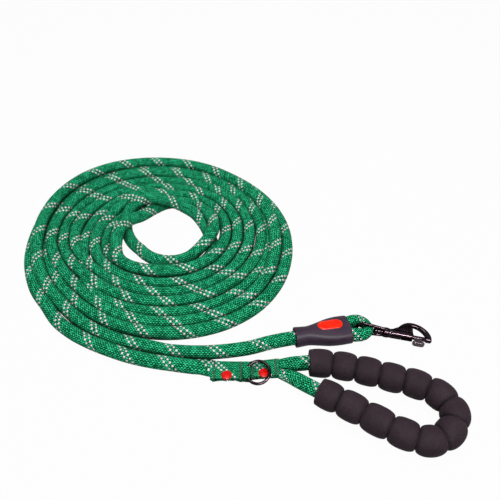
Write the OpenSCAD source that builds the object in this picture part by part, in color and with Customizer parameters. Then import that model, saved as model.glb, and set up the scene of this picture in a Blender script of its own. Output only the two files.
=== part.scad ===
// A long round-rope training leash, coiled flat on a surface: a bolt snap hook on a
// swivel at one end, and a rope handle with a lobed foam grip and a ring at the other.
// Millimetres, +Z up, z = 0 is the surface it lies on.

/* [Rope] */
// Diameter of the rope
rope_d = 13; // [12:0.5:14]
// Diameter of the rope in the eye's two legs
eye_rope_d = 11; // [10.6:0.1:11]
// Diameter of the rope where the link pulls it thin
pulled_rope_d = 9.2; // [8.8:0.1:9.2]

/* [Coil] */
// Outer radius of the wound coil
coil_outer_r = 143; // [140:1:146]
// Radius of the coil's open middle
coil_inner_r = 34; // [25:1:45]
// Height of the coil
coil_h = 24; // [20:1:28]

/* [Hook sleeve] */
// Length of the sleeve
sleeve_l = 51; // [50:0.5:53]
// Half width of the sleeve's narrow end
sleeve_narrow_r = 8.7; // [8.3:0.1:9]
// Half width of the sleeve's wide end
sleeve_wide_r = 14.2; // [14.2:0.1:15]
// Half thickness of the sleeve's wide end
sleeve_flat_r = 8; // [7.8:0.1:8.4]
// Length of the oval badge
badge_l = 24; // [18:1:26]
// Width of the oval badge
badge_w = 11; // [8:0.5:12]
// Height of the badge above the sleeve
badge_t = 0.6; // [0.4:0.1:1]

/* [Snap hook] */
// Diameter of the swivel link's wire
bail_wire_d = 3; // [2.8:0.1:3]
// Radius of the link's round end, to the middle of the wire
bail_r = 6.6; // [6.6:0.1:6.8]
// Diameter of the swivel stud
stud_d = 4.4; // [4:0.1:5]
// Thickness of the hook's body
body_t = 6.6; // [6.2:0.1:7]
// Thickness of the hook's bow
bow_t = 4.8; // [4.4:0.2:5.4]
// Diameter of the gate bolt
bolt_d = 3.6; // [3.4:0.1:3.8]
// Radial clearance of the bolt in its barrel
bolt_gap = 0.05; // [0.03:0.01:0.08]
// Travel of the gate bolt
gate_travel = 10; // [9:0.5:10]
// Diameter of the spring's wire
spring_wire_d = 0.6; // [0.5:0.1:0.7]
// Number of turns in the spring
spring_turns = 7; // [5:1:8]

/* [Strap and ring] */
// Width of the flat braid band
band_w = 19.6; // [19:0.2:20]
// Thickness of the flat braid band
band_t = 1.2; // [1:0.1:1.4]
// Thickness of the flattened rope strands
strand_t = 3.2; // [3:0.1:3.4]
// Diameter of the rivet caps
cap_d = 9.4; // [9:0.2:10]
// Diameter of the rivet posts
post_d = 3.2; // [3:0.1:3.6]
// Radius of the ring, to the middle of its wire
ring_r = 10.2; // [10:0.1:10.4]
// Diameter of the ring's wire
ring_wire_d = 2.7; // [2.5:0.1:2.8]

/* [Foam grip] */
// Radius of each lobe
lobe_r = 12.7; // [12:0.1:13]
// Radius in the grooves between lobes
groove_r = 9.2; // [8.8:0.2:10]
// How square each lobe is
lobe_power = 2.6; // [2:0.1:4]

/* [Hidden] */
$fn = 64;

// Places of the groups: the coil's centre, the sleeve's narrow end, the rope that the hook pulls on
coil_pos = [-169, 187, 0];
sleeve_pos = [-32, 48.4, 8.8];
sleeve_turn = 9.7;
eye_rise = 0.9;
pull_pos = [34.6, 57.6, 9.7];
hook_turn = -8.8;
hook_dip = 6;
strap_y = 14.2;

// The rope from the coil to the sleeve, then from the coil to the strap
hook_lead_points = [[-181, 43.2, 7], [-165, 39, 6.6], [-146, 34.5, 6.6], [-127, 33, 6.6], [-109, 33, 6.6],
    [-91, 35, 6.6], [-73, 38.5, 7], [-54, 43.3, 8], [-34, 48, 8.8], [-19.3, 50.5, 8.8]];
handle_lead_points = [[-232, 55.5, 7], [-218, 44.5, 6.6], [-199, 35.5, 6.6], [-180, 28.5, 6.6],
    [-161, 23.5, 6.6], [-143, 20, 6.6], [-126, 17.6, 6.6], [-109.4, 17.8, 3.6]];

// The rope eye in the sleeve's own frame: along, across, diameter
eye_points = [[13.2, 0, eye_rope_d], [17, 0.5, eye_rope_d], [24, 3.4, eye_rope_d], [32, 7.1, eye_rope_d],
    [40, 7.4, eye_rope_d], [48, 7.7, eye_rope_d], [55, 9.3, eye_rope_d], [61, 9.2, 10.6], [66, 5.6, 9.6],
    [68, 0.8, pulled_rope_d], [66.3, -4.2, pulled_rope_d], [61, -7.8, 10.4], [55, -7.9, eye_rope_d],
    [48, -6, eye_rope_d], [40, -6, eye_rope_d], [32, -6, eye_rope_d]];

// Strap: from the rivet backs up, its underlay, two flat strands and band
strap_x = [-108.2, -48];
back_t = 0.5;
back_d = 8;
underlay_t = 0.7;
strand_z = back_t + underlay_t;
strand_mid = strand_z + strand_t / 2;
band_z = strand_z + strand_t;
cap_t = 1.2;
cap_edge = 1.2;
stitch_r = 0.4;
stitch_l = 1.6;
stitch_pitch = 2.5;
near_step = [-77.3, -76.3, 2.4];
rivet_points = [[-94.5, 9.1], [-61.8, 11.4]];

// Ring: the middle of its wire under the arch, its slope, and the room that the arch leaves round it
ring_pos = [-77, 10.7, 6.7];
ring_tilt = 18;
ring_lift = 9;
arch_half_w = 2.7;
arch_half_l = 4.3;
arch_clear = 2.5;
arch_splay = 1.8;
notch = [5.4, 3.4];

// The handle's rope: x, y, z, width, thickness. It starts and ends flattened in the strap
loop_points = [[-108.2, 18.9, strand_mid, 9.4, strand_t], [-86, 18.9, strand_mid, 9.4, strand_t],
    [-72, 19.7, strand_mid, 8.2, strand_t], [-50, 20, strand_mid, 8.4, strand_t], [-46, 20.3, 3.2, 10, 4],
    [-37, 20, 5.4, 12.8, 8], [-28, 18.8, 9, 13, 12.4], [-19, 17.6, 12.2, 13, 13], [-12, 16.6, 12.8, 13, 13],
    [8, 13.4, 12.8, 13, 13], [28, 8, 12.8, 13, 13], [48, 1.6, 12.8, 13, 13], [67.5, -5, 12.8, 13, 13],
    [85.5, -15.4, 12.8, 13, 13], [94.2, -32.2, 12.8, 13, 13], [89.6, -51.4, 12.8, 13, 13],
    [70, -58.2, 12.8, 13, 13], [49.7, -52, 12.8, 13, 13], [30, -40.5, 12.8, 13, 13], [11, -28.2, 12.8, 13, 13],
    [-7.5, -17.4, 12.8, 13, 13], [-16, -11.6, 12, 13, 13], [-27, -3.4, 9, 13, 12.4], [-37, 5, 5.4, 12.8, 8],
    [-46, 9.8, 3.2, 9.8, 4], [-50, 10.8, strand_mid, 8.6, strand_t], [-66, 11, strand_mid, 8.2, strand_t],
    [-70, 11, 2.6, 8.2, 2.7],
    [-74, 10.6, 2.1, 8.2, 1.8], [-80, 10, 2.1, 8.6, 1.8], [-85, 9.4, 2.6, 9, 2.7],
    [-107, 9.3, strand_mid, 9, strand_t]];

// Middle of each lobe of the grip
lobe_points = [[-12, 16.6], [8, 13.4], [28, 8], [48, 1.6], [67.5, -5], [85.5, -15.4], [94.2, -32.2], [89.6, -51.4],
    [70, -58.2], [49.7, -52], [30, -40.5], [11, -28.2], [-7.5, -17.4]];
grip_z = 12.8;
grip_bore_r = rope_d / 2 + 0.15;

// Sleeve: the badge's place, and the clamp's reach and wall
badge_pos = [33.6, 2.6];
ferrule_x = [33, 41];
ferrule_half = 6.7;
ferrule_y = 0.7;
ferrule_wall = 0.55;
squeeze = 0.05;

// Hook, measured along x from the rope that it hangs on
collar_x = 15;
collar_t = 5;
collar_r = 4.7;
bail_x = -3;
bail_h = 4.2;
swivel_gap = 0.08;
head_x = [6.6, 10.4];
head_r = 3.2;
shoulder_x = collar_x - 0.3;
shoulder_r = 2.7;
washer_x = [collar_x + collar_t + 0.3, collar_x + collar_t + 0.99];
body_x = collar_x + collar_t + 1;
stud_end_x = body_x + 4;
bolt_y = 0;
bolt_r = bolt_d / 2;
bolt_x = [39, 57.8];
bore_x = 28.4;
barrel_r = 4.2;
barrel_x = [body_x + 1, 42.5];
seat_x = 54.5;
nose_x = 60;
nose_r = 2.6;
bow_c = [42.5, 3];
bow_outer = [17.4, 13.2];
bow_hole_c = [45.5, 3.6];
bow_hole = [9.3, 9];
knob_x = [42, 53];
knob_t = 6.8;
knob_depth = 3.3;
knob_gap = 0.4;
neck_t = 2.6;
neck_inset = 2;
rib_x = [25, 37];
rib_h = 0.4;
spring_gap = 0.1;

// Unit vector
function unit(v) = v / norm(v);

// Points of a smooth curve through the given points, n steps from each to the next
function smooth(p, n) = [
    for (i = [0 : len(p) - 2], k = [0 : n - 1])
        let (t = k / n, b = p[i], c = p[i + 1],
            a = i > 0 ? p[i - 1] : 2 * b - c,
            d = i < len(p) - 2 ? p[i + 2] : 2 * c - b)
        ((2 * b) + (c - a) * t + (2 * a - 5 * b + 4 * c - d) * t * t + (3 * b - a - 3 * c + d) * t * t * t) / 2,
    p[len(p) - 1]];

// Direction of a path at each of its points
function directions(p) = [for (i = [0 : len(p) - 1]) unit(p[min(i + 1, len(p) - 1)] - p[max(i - 1, 0)])];

// A sine or cosine swelled towards a square: 2 keeps it round
function swelled(v, power) = sign(v) * pow(abs(v), 2 / power);

// Upright oval rings along a level path: each size is [half width, half thickness, squareness]
function rings(path, sizes, sides) = let (d = directions(path)) [
    for (i = [0 : len(path) - 1])
        let (across = unit(cross([0, 0, 1], d[i])), up = cross(d[i], across), power = sizes[i][2])
        [for (k = [0 : sides - 1]) let (a = 360 * k / sides)
            path[i] + across * sizes[i][0] * swelled(cos(a), power) + up * sizes[i][1] * swelled(sin(a), power)]];

// Side faces between rings of equal length
function ring_faces(count, sides, first = 0) = [
    for (i = [0 : count - 2], k = [0 : sides - 1])
        let (a = first + i * sides + k, b = first + i * sides + (k + 1) % sides)
        each [[a, b + sides, b], [a, a + sides, b + sides]]];

// A closed solid through a row of rings
module skin(r) {
    sides = len(r[0]);
    last = (len(r) - 1) * sides;
    polyhedron(points = [for (ring = r) each ring],
        faces = concat(ring_faces(len(r), sides),
            [[for (k = [0 : sides - 1]) k]], [[for (k = [sides - 1 : -1 : 0]) last + k]]));
}

// A round tube along a path
module cord(path, d, sides = 12) {
    skin(rings(path, [for (p = path) [d / 2, d / 2, 2]], sides));
}

// Stands children in the sleeve's frame, then in the hook's frame
module at_sleeve() {
    translate(sleeve_pos) rotate([0, 0, sleeve_turn]) children();
}

module at_hook() {
    translate(pull_pos) rotate([0, 0, hook_turn]) rotate([0, hook_dip, 0]) children();
}

// Stands children at the ring's wire under the arch
module at_ring() {
    translate(ring_pos) rotate([ring_tilt, 0, 0]) children();
}

// A flat shape with two round ends: half its straight length, then its radius
module stadium(half, r) {
    for (s = [-1, 1]) translate([s * half, 0]) circle(r = r);
    translate([-half, -r]) square([2 * half, 2 * r]);
}

// A cylinder along x, from a to b
module rod(a, b, r) {
    translate([a, 0, 0]) rotate([0, 90, 0]) cylinder(r = r, h = b - a);
}

// The wound rope's outer shape: a flat ring with rounded edges
module rope_coil() {
    edge = rope_d / 2;
    color("seagreen") translate(coil_pos) rotate_extrude($fn = 96)
        polygon(concat(
            [[coil_inner_r + edge, 0], [coil_outer_r - edge, 0]],
            [for (a = [-75 : 15 : 75]) [coil_outer_r - edge + edge * cos(a), coil_h / 2 + coil_h / 2 * sin(a)]],
            [[coil_outer_r - edge, coil_h], [coil_inner_r + edge, coil_h]],
            [for (a = [105 : 15 : 255]) [coil_inner_r + edge + edge * cos(a), coil_h / 2 + coil_h / 2 * sin(a)]]));
}

module hook_lead() {
    color("seagreen") cord(smooth(hook_lead_points, 2), rope_d);
}

module handle_lead() {
    sizes = [for (i = [0 : len(handle_lead_points) - 1])
        i < len(handle_lead_points) - 1 ? [rope_d / 2, rope_d / 2, 2] : [6, 3.6, 2]];
    color("seagreen") skin(rings(smooth(handle_lead_points, 2), smooth(sizes, 2), 12));
}

// The end of the rope, turned back on itself through the swivel link
module rope_eye() {
    fine = smooth(eye_points, 2);
    color("seagreen") at_sleeve() skin(rings([for (p = fine) [p[0], p[1], p[0] > ferrule_x[1] ? eye_rise : 0]],
        [for (p = fine) [p[2] / 2, p[2] / 2, 2]], 12));
}

// Rings of the sleeve: along, half width, half thickness, squareness, then how far the flare leans aside
function sleeve_rings(grow) = let (
        rows = [[-1, sleeve_narrow_r, sleeve_narrow_r, 2, 0], [12, sleeve_narrow_r + 0.1, sleeve_narrow_r, 2, 0],
            [21, 10.8, sleeve_narrow_r, 2.2, 0.2], [30, 13.2, 8.5, 2.6, 0.6],
            [40, sleeve_wide_r + 0.2, 8.3, 2.9, 1], [sleeve_l, sleeve_wide_r, sleeve_flat_r, 3, 1.2]],
        fine = smooth(rows, 3))
    rings([for (r = fine) [r[0], r[4], 0]], [for (r = fine) [r[1] + grow, r[2] + grow, r[3]]], 32);

module hook_sleeve() {
    room = smooth([[-2, 6.7, 6.7, 2, 0], [12, 6.7, 6.7, 2, 0], [18, 8.8, 6.9, 2, 0], [24, 11.2, 7, 2.3, 0.3],
        [31, 12.8, 7, 2.7, 0.7], [40, 13.4, 7, 3.2, 0.9], [sleeve_l + 1, 13.3, 6.9, 3.2, 1.1]], 3);
    color("dimgray") at_sleeve() difference() {
        skin(sleeve_rings(0));
        skin(rings([for (r = room) [r[0], r[4], 0]], [for (r = room) [r[1], r[2], r[3]]], 32));
    }
}

// A bare oval badge that follows the sleeve's surface
module sleeve_badge() {
    color("orangered") at_sleeve() difference() {
        intersection() {
            skin(sleeve_rings(badge_t));
            translate(badge_pos) linear_extrude(height = 20) stadium((badge_l - badge_w) / 2, badge_w / 2);
        }
        skin(sleeve_rings(0));
    }
}

// An oval clamp round the rope and its tail
module eye_ferrule() {
    inner_r = eye_rope_d / 2 + squeeze;
    color("silver") at_sleeve() translate([ferrule_x[0], ferrule_y, 0]) rotate([90, 0, 90])
        linear_extrude(height = ferrule_x[1] - ferrule_x[0]) difference() {
            stadium(ferrule_half, inner_r + ferrule_wall);
            stadium(ferrule_half, inner_r);
        }
}

// A wire link with a round end, two straight bars and a collar that the stud turns in
module swivel_bail() {
    reach = collar_x + collar_t / 2 - bail_x;
    turn = atan2(bail_h, reach) + acos(bail_r / norm([reach, bail_h]));
    foot = [bail_x + bail_r * cos(turn), bail_r * sin(turn)];
    span = norm([reach + bail_x - foot[0], foot[1] - bail_h]);
    color("dimgray") at_hook() difference() {
        union() {
            translate([bail_x, 0, 0]) rotate([90, 0, 0]) rotate([0, 0, turn])
                rotate_extrude(angle = 360 - 2 * turn) translate([bail_r, 0]) circle(d = bail_wire_d);
            for (s = [-1, 1]) translate([foot[0], 0, s * foot[1]])
                rotate([0, 90 + s * atan2(foot[1] - bail_h, reach + bail_x - foot[0]), 0])
                    translate([0, 0, -1]) cylinder(d = bail_wire_d - 0.2, h = span + 1);
            rod(collar_x, collar_x + collar_t, collar_r);
        }
        rod(collar_x - collar_t, collar_x + collar_t + 1, stud_d / 2 + swivel_gap);
    }
}

module swivel_stud() {
    color("gray") at_hook() {
        rod(shoulder_x, stud_end_x, stud_d / 2);
        rod(head_x[1], shoulder_x, shoulder_r);
        rod(head_x[0], head_x[1], head_r);
    }
}

module swivel_washer() {
    color("darkgray") at_hook() difference() {
        rod(washer_x[0], washer_x[1], collar_r - 0.4);
        rod(collar_x, body_x + 1, stud_d / 2 + squeeze);
    }
}

// Outline of the tapered body, from the collar to the bow
body_outline = [[body_x, 3.4], [26, 6.4], [33, 10], [36, 12.4], [42.5, 12.2], [42.5, -4], [body_x, -4]];

module hook_body() {
    bore_r = bolt_r + bolt_gap;
    open_h = 20;
    color("dimgray") at_hook() difference() {
        union() {
            difference() {
                union() {
                    translate([0, 0, -body_t / 2 + rib_h]) linear_extrude(height = body_t - 2 * rib_h)
                        polygon(body_outline);
                    translate([0, 0, -bow_t / 2]) linear_extrude(height = bow_t) difference() {
                        oval(bow_c, bow_outer);
                        oval(bow_hole_c, bow_hole);
                    }
                }
                translate([barrel_x[1], bolt_y - nose_r, -open_h / 2])
                    cube([seat_x - barrel_x[1], 2 * nose_r, open_h]);
                translate([collar_x, bolt_y - nose_r - open_h, -open_h / 2]) cube([nose_x, open_h, open_h]);
            }
            translate([0, bolt_y, 0]) rod(barrel_x[0], barrel_x[1], barrel_r);
            translate([0, bolt_y, 0]) rod(seat_x, nose_x, nose_r);
            // Cast ribs across the tapered body
            for (x = [rib_x[0] : 3 : rib_x[1]]) translate([x, 1.5, -body_t / 2]) cube([1.2, x / 3 - 4.6, body_t]);
            rod(body_x, rib_x[0] + 1, collar_r - 0.4);
        }
        translate([0, bolt_y, 0]) rod(bore_x, barrel_x[1] + 1, bore_r);
        translate([0, bolt_y, 0]) rod(seat_x - 1, nose_x - 1.6, bore_r);
        // Slot that the knob's neck runs in
        translate([barrel_x[1] - gate_travel - neck_inset, bolt_y - open_h, -neck_t / 2 - 0.3])
            cube([gate_travel + 2 * neck_inset, open_h, neck_t + 0.6]);
        rod(collar_x, stud_end_x, stud_d / 2);
    }
}

// A filled oval at a point with the given half sizes
module oval(c, s) {
    polygon([for (a = [0 : 7.5 : 359]) [c[0] + s[0] * cos(a), c[1] + s[1] * sin(a)]]);
}

module gate_bolt() {
    color("silver") at_hook() translate([0, bolt_y, 0]) rod(bolt_x[0], bolt_x[1], bolt_r);
}

// The knob's neck stands in the bolt, and its pad lies clear of the barrel
module thumb_knob() {
    neck_y = bolt_y - bolt_r + 0.6;
    pad_y = bolt_y - barrel_r - knob_gap;
    pad_l = knob_x[1] - knob_x[0];
    color("gray") at_hook() difference() {
        union() {
            translate([knob_x[0] + neck_inset, pad_y - 1, -neck_t / 2])
                cube([pad_l - 2 * neck_inset, neck_y - pad_y + 1, neck_t]);
            translate([knob_x[0], pad_y - knob_depth, -knob_t / 2]) cube([pad_l, knob_depth, knob_t]);
        }
        translate([0, bolt_y, 0]) rod(bore_x, nose_x, bolt_r);
        // Grip grooves in the pad's outer face
        for (x = [knob_x[0] + 2 : 2 : knob_x[1] - 1])
            translate([x, pad_y - knob_depth, -knob_t]) cylinder(r = 0.5, h = 2 * knob_t);
    }
}

// Spring behind the bolt, in the barrel's bore
module gate_spring() {
    wire_r = spring_wire_d / 2;
    r = bolt_r - wire_r - spring_gap;
    start = bore_x + wire_r + 2 * spring_gap;
    run = bolt_x[0] - wire_r - 2 * spring_gap - start;
    steps = 10;
    sides = 6;
    // Each ring of the wire stands in the plane through the bore's axis
    rows = [for (i = [0 : spring_turns * steps])
        let (a = 360 * i / steps, radial = [0, cos(a), sin(a)])
        [for (k = [0 : sides - 1]) let (b = 360 * k / sides)
            [start + run * i / (spring_turns * steps), 0, 0] + r * radial
                + wire_r * (cos(b) * [1, 0, 0] + sin(b) * radial)]];
    color("silver") at_hook() translate([0, bolt_y, 0]) skin(rows);
}

module handle_loop() {
    fine = smooth(loop_points, 2);
    color("seagreen") skin(rings([for (p = fine) [p[0], p[1], p[2]]], [for (p = fine) [p[3] / 2, p[4] / 2, 2]], 12));
}

// Half a lobe's swell, from 0 in the groove to 1 at its middle
function swell(t) = pow(1 - pow(abs(2 * t - 1), lobe_power), 0.6);

// One moulded tube: a row of lobes outside, the rope's round channel inside
module foam_grip() {
    sides = 16;
    steps = 8;
    n = len(lobe_points);
    ends = concat([2 * lobe_points[0] - lobe_points[1]], lobe_points, [2 * lobe_points[n - 1] - lobe_points[n - 2]]);
    whole = smooth([for (p = ends) [p[0], p[1], grip_z]], steps);
    line = [for (i = [steps / 2 : len(whole) - 1 - steps / 2]) whole[i]];
    bore = [for (i = [0 : steps / 2 : len(line) - 1]) line[i]];
    outer = [for (i = [0 : len(line) - 1]) groove_r + (lobe_r - groove_r) * swell((i % steps) / steps)];
    out_rings = rings(line, [for (r = outer) [r, r, 2]], sides);
    in_rings = rings(bore, [for (p = bore) [grip_bore_r, grip_bore_r, 2]], sides);
    first_in = len(out_rings) * sides;
    out_last = first_in - sides;
    in_last = first_in + (len(in_rings) - 1) * sides;
    color("darkslategray") polyhedron(
        points = concat([for (r = out_rings) each r], [for (r = in_rings) each r]),
        faces = concat(ring_faces(len(out_rings), sides),
            [for (f = ring_faces(len(in_rings), sides, first_in)) [f[2], f[1], f[0]]],
            [for (k = [0 : sides - 1]) let (n = (k + 1) % sides)
                each [[k, first_in + n, first_in + k], [k, n, first_in + n],
                    [out_last + k, in_last + k, in_last + n], [out_last + k, in_last + n, out_last + n]]]));
}

// A tapered hump along the ring's wire: half its top width, how far its feet splay, its height, its reach
module arch(half, splay, top, reach) {
    foot = -6;
    at_ring() rotate([90, 0, 0]) translate([0, 0, -reach[0]]) linear_extrude(height = reach[0] + reach[1])
        polygon([[-half - splay, foot], [-half, top], [half, top], [half + splay, foot]]);
}

// Outline of the band and its underlay, narrower past the ring
module strap_shape() {
    near = strap_y - band_w / 2;
    far = strap_y + band_w / 2;
    polygon([[strap_x[0], near], [near_step[0], near], [near_step[1], near + near_step[2]],
        [strap_x[1], near + near_step[2]], [strap_x[1], far], [strap_x[0], far]]);
}

// The band: a flat strip, open from its near edge under an arch that stands over the ring's wire
module keeper_band() {
    color("seagreen") difference() {
        union() {
            translate([0, 0, band_z]) linear_extrude(height = band_t) strap_shape();
            intersection() {
                translate([0, 0, band_z]) linear_extrude(height = 20) strap_shape();
                arch(arch_half_w + 0.8, arch_splay + band_t / 2, arch_clear + band_t, [arch_half_l, arch_half_l]);
            }
        }
        arch(arch_half_w, arch_splay, arch_clear, [arch_half_l + 1, arch_half_l + 5]);
        // Notch that the ring's wire leaves through
        translate([ring_pos[0], strap_y - band_w / 2 - 1, 0]) cube([notch[0], notch[1], band_z + band_t + 1]);
        for (p = rivet_points) translate([p[0], p[1], 0]) cylinder(d = post_d, h = band_z + 2 * band_t);
    }
}

module keeper_underlay() {
    color("seagreen") difference() {
        translate([0, 0, back_t]) linear_extrude(height = underlay_t) strap_shape();
        for (p = rivet_points) translate([p[0], p[1], 0]) cylinder(d = post_d, h = band_z);
    }
}

// Steel ring, lying over the band and through its arch
module ring() {
    color("dimgray") at_ring() rotate([0, -ring_lift, 0]) translate([ring_r, 0, 0])
        rotate_extrude() translate([ring_r, 0]) circle(d = ring_wire_d);
}

module rivet_caps() {
    color("red") for (p = rivet_points) translate([p[0], p[1], band_z + band_t]) difference() {
        cylinder(d1 = cap_d, d2 = cap_d - 2 * cap_edge, h = cap_t);
        translate([0, 0, 0.75 * cap_t]) cylinder(d = cap_d - 3.4 * cap_edge, h = cap_t);
    }
}

module rivet_posts() {
    color("silver") for (p = rivet_points) translate([p[0], p[1], back_t])
        cylinder(d = post_d, h = band_z + band_t - back_t);
}

module rivet_backs() {
    color("silver") for (p = rivet_points) translate([p[0], p[1], 0]) cylinder(d = back_d, h = back_t);
}

// Rows of stitching across the ends of the band's two flaps
module stitch_rows() {
    rows = [[strap_x[0] + 3.5, -3.5], [ring_pos[0] - 8, -3.5], [ring_pos[0] + 9, -2.5], [strap_x[1] - 3, -2.5]];
    color("darkgreen") for (row = rows, y = [row[1] : 1 : 3.5])
        translate([row[0], strap_y + y * stitch_pitch + stitch_l / 2, band_z + band_t]) rotate([90, 0, 0])
            cylinder(r = stitch_r, h = stitch_l);
}

rope_coil();
hook_lead();
handle_lead();
rope_eye();
hook_sleeve();
sleeve_badge();
eye_ferrule();
swivel_bail();
swivel_stud();
swivel_washer();
hook_body();
gate_bolt();
thumb_knob();
gate_spring();
handle_loop();
foam_grip();
keeper_band();
keeper_underlay();
ring();
rivet_caps();
rivet_posts();
rivet_backs();
stitch_rows();
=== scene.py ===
import math

import bmesh
import bpy
import numpy as np
from mathutils import Matrix, Vector


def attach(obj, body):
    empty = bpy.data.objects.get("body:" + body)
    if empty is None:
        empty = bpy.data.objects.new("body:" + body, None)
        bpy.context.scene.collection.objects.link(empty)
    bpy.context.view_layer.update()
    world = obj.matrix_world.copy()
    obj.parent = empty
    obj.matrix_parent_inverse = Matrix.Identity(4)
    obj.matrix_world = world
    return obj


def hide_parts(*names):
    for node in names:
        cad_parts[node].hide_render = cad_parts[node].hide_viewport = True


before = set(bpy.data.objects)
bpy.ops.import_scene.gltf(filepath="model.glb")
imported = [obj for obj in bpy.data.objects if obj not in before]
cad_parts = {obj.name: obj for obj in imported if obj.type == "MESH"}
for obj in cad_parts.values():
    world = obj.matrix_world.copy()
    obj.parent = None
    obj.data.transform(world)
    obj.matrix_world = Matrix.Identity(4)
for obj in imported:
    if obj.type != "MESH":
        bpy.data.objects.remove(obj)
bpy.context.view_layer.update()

# ---------------------------------------------------------------------------------------------
# Table and camera
# The leash lies on a white table top, seen from the front at a steep angle. The top is a matt
# white laminate: it keeps the soft contact shadows and otherwise reads as plain white.
# ---------------------------------------------------------------------------------------------
MM = 0.001


def linear(hex_colour):
    """An sRGB hex colour as linear red, green, blue and alpha."""
    parts = [int(hex_colour[i:i + 2], 16) / 255 for i in (1, 3, 5)]
    return [c / 12.92 if c <= 0.04045 else ((c + 0.055) / 1.055) ** 2.4 for c in parts] + [1.0]


def add(tree, kind, *values, out=0, sockets=None, **settings):
    """Adds a shader node with its settings, fills its inputs with values or links, returns one output."""
    made = tree.nodes.new("ShaderNode" + kind)
    for key, value in settings.items():
        setattr(made, key, value)
    for key, value in list(enumerate(values)) + list((sockets or {}).items()):
        if isinstance(value, bpy.types.NodeSocket):
            tree.links.new(value, made.inputs[key])
        elif value is not None:
            made.inputs[key].default_value = value
    return made.outputs[out]


def finish_named(name):
    """A new material and its empty node tree."""
    finish = bpy.data.materials.new(name)
    finish.use_nodes = True
    finish.node_tree.nodes.clear()
    return finish, finish.node_tree


def seen_directly(tree):
    """1 for a ray from the eye, a mirror or a clear piece, and 0 for the light it throws on others."""
    rays = tree.nodes.new("ShaderNodeLightPath").outputs
    seen = add(tree, "Math", rays["Is Camera Ray"], rays["Is Glossy Ray"], operation="MAXIMUM")
    return add(tree, "Math", seen, rays["Is Transmission Ray"], operation="MAXIMUM")


TABLE_HALF = 4.0
TABLE_TOP = -0.0003        # a hair under the frame's floor, where the undersides lie
TABLE_WHITE = 0.97         # how much of the table's own look is plain white, and the rest is lit
white_laminate, tree = finish_named("white_laminate")
matt = add(tree, "BsdfDiffuse", linear("#A8A8A8"))
plain = add(tree, "Emission", linear("#FFFFFF"), 1.0)
share = add(tree, "Math", seen_directly(tree), TABLE_WHITE, operation="MULTIPLY")
surface = add(tree, "MixShader", share, matt, plain)
add(tree, "OutputMaterial", surface, out=slice(0))

table_mesh = bpy.data.meshes.new("table_top")
table_corners = [(x * TABLE_HALF, y * TABLE_HALF, TABLE_TOP) for x, y in ((-1, -1), (1, -1), (1, 1), (-1, 1))]
table_mesh.from_pydata(table_corners, [], [(0, 1, 2, 3)])
table_top = bpy.data.objects.new("table_top", table_mesh)
table_mesh.materials.append(white_laminate)
bpy.context.scene.collection.objects.link(table_top)

lens = bpy.data.cameras.new("camera")
lens.lens = 45.36
lens.sensor_width = 36
lens.clip_end = 50
camera = bpy.data.objects.new("camera", lens)
camera.location = (-0.074, -0.314, 0.466)
camera.rotation_euler = (math.radians(46.3), 0, 0)
bpy.context.scene.collection.objects.link(camera)
bpy.context.scene.camera = camera
bpy.context.scene.view_settings.view_transform = "Standard"

# ---------------------------------------------------------------------------------------------
# Long rope
# Six metres of 13 mm braided polyester, wound flat by hand. From the hook's sleeve it runs along
# the front to the coil, winds inwards, turns back under the inner turns and comes out to the strap.
# ---------------------------------------------------------------------------------------------
ROPE_D = 13.0
COIL_CENTRE = np.array([-170.0, 187.0])
RING_STEP = 3.0
TURN_STEP = 15             # degrees between the points of a turn
LAY_START = 12.0           # slides the braid's pattern along the rope

# From the sleeve to the coil: x, y and height of the rope's middle
from_sleeve = [(-19.3, 50.2, 8.8), (-35, 47.6, 8.7), (-54, 44, 7.6), (-74, 38.2, 6.8), (-92, 35, 6.6),
               (-110, 33.2, 6.6), (-128, 33, 6.6), (-147, 34.6, 6.6), (-166, 39, 7), (-190, 45, 7),
               (-215, 56, 7), (-238, 72, 7.5)]
# From the strap to the coil
from_strap = [(-107, 18.2, 2.8), (-112, 18.1, 4), (-118, 17.8, 5.6), (-126, 17.6, 6.5), (-144, 20.4, 6.6),
              (-162, 23.6, 6.6), (-181, 28.5, 6.6), (-200, 35.5, 6.6), (-219, 44, 6.6), (-238, 55, 6.6),
              (-256, 70, 6.6)]
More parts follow.
